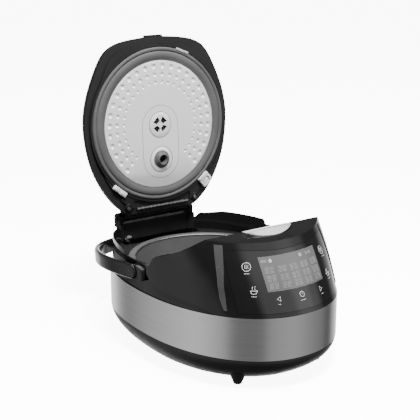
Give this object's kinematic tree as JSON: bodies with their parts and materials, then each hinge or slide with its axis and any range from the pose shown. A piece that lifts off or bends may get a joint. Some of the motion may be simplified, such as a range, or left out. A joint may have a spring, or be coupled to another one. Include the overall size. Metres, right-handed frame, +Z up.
{
  "type": "rice cooker",
  "caption": "Oval table-top rice cooker with an open hinged lid, touch control panel, removable pot and carry handle.",
  "frame": {"origin": "on the table under the middle of the cooker with its lid open", "axes": "+X to the user's right when facing the control panel, -Y out of the control panel, +Z up"},
  "size_m": [0.305, 0.4579, 0.4619],
  "materials": {
    "satin_base_plastic": "satin moulded",
    "foot_rubber": "matt",
    "brushed_stainless": "fine upright brushing",
    "gloss_housing": "high gloss",
    "panel_gloss": "high gloss",
    "display_glass": "clear over grey",
    "black_moulding": "satin moulded",
    "bright_button": "bright",
    "zinc_steel": "plated",
    "well_steel": "drawn sheet",
    "cast_plate": "machined",
    "element_sheath": "oxidised",
    "pot_coating": "dark non-stick with a bright turned rim",
    "lid_aluminium": "satin anodised",
    "grey_silicone": "satin",
    "white_clip": "satin",
    "circuit_board": "solder mask",
    "display_cell": "grey cell",
    "heater_foil": "foil",
    "tube_plastic": "natural",
    "brass_pins": "plated"
  },
  "bodies": {
    "body": {"base_shell": "satin_base_plastic", "feet": "satin_base_plastic", "foot_pads": "foot_rubber", "base_screws": "zinc_steel", "steel_band": "brushed_stainless", "inner_frame": "satin_base_plastic", "front_housing": "gloss_housing", "rear_housing": "gloss_housing", "pot_deck": "black_moulding", "hinge_block": "black_moulding", "hinge_pin": "zinc_steel", "lid_springs": "zinc_steel", "control_panel": "panel_gloss", "display_window": "display_glass", "display_module": "display_cell", "display_board": "circuit_board", "panel_posts": "black_moulding", "latch_bracket": "black_moulding", "button_spring": "zinc_steel", "heating_well": "well_steel", "heating_plate": "cast_plate", "heating_element": "element_sheath", "plate_posts": "zinc_steel", "side_heater": "well_steel", "sensor_spring": "zinc_steel", "thermal_fuse": "zinc_steel", "power_board": "circuit_board", "board_standoffs": "black_moulding", "relay": "black_moulding", "transformer": "zinc_steel", "filter_capacitor": "tube_plastic", "power_inlet": "satin_base_plastic", "inlet_pins": "brass_pins", "pivot_seats": "black_moulding", "pivot_pins": "zinc_steel"},
    "lid": {"lid_outer_cover": "gloss_housing", "lid_inner_frame": "black_moulding", "lid_gasket": "grey_silicone", "inner_lid_plate": "lid_aluminium", "vent_plate": "lid_aluminium", "lid_heater": "heater_foil", "valve_grommet": "grey_silicone", "steam_tube": "tube_plastic", "steam_cap": "gloss_housing", "striker_tab": "black_moulding", "lid_screws": "zinc_steel"},
    "clip_left": {"clip_left": "white_clip"},
    "clip_right": {"clip_right": "white_clip"},
    "release_button": {"release_button": "bright_button"},
    "latch_hook": {"latch_hook": "black_moulding"},
    "carry_handle": {"carry_handle": "gloss_housing"},
    "inner_pot": {"inner_pot": "pot_coating"},
    "sensor_cup": {"sensor_cup": "cast_plate"}
  },
  "joints": [
    {"name": "lid_hinge", "type": "hinge", "parent": "body", "child": "lid", "pos_m": [0, 0.1724, 0.165], "axis": [-1, 0, 0], "range_deg": [-92.7, 0], "stiffness_Nm_per_rad": 0.9, "springref_deg": 20.05, "deforming": ["lid_springs"]},
    {"name": "pot_lift", "type": "slide", "parent": "body", "child": "inner_pot", "axis": [0, 0, 1], "range_m": [0, 0.16]},
    {"name": "button_press", "type": "slide", "parent": "body", "child": "release_button", "axis": [0, 0, 1], "range_m": [-0.003, 0], "stiffness_N_per_m": 500, "deforming": ["button_spring"]},
    {"name": "hook_slide", "type": "slide", "parent": "body", "child": "latch_hook", "axis": [0, 1, 0], "range_m": [-0.0027, 0]},
    {"name": "handle_swing", "type": "hinge", "parent": "body", "child": "carry_handle", "pos_m": [0, -0.0026, 0.138], "axis": [1, 0, 0], "range_deg": [0, 8]},
    {"name": "sensor_press", "type": "slide", "parent": "body", "child": "sensor_cup", "axis": [0, 0, 1], "range_m": [-0.002, 0], "stiffness_N_per_m": 400, "deforming": ["sensor_spring"]},
    {"name": "clip_left_slide", "type": "slide", "parent": "lid", "child": "clip_left", "axis": [-0.6307, -0.0366, -0.7752], "range_m": [0, 0.003], "stiffness_N_per_m": 500},
    {"name": "clip_right_slide", "type": "slide", "parent": "lid", "child": "clip_right", "axis": [0.6307, -0.0366, -0.7752], "range_m": [0, 0.003], "stiffness_N_per_m": 500}
  ],
  "couplings": [
    {"joint": "hook_slide", "follows": "button_press", "ratio": 0.9}
  ]
}
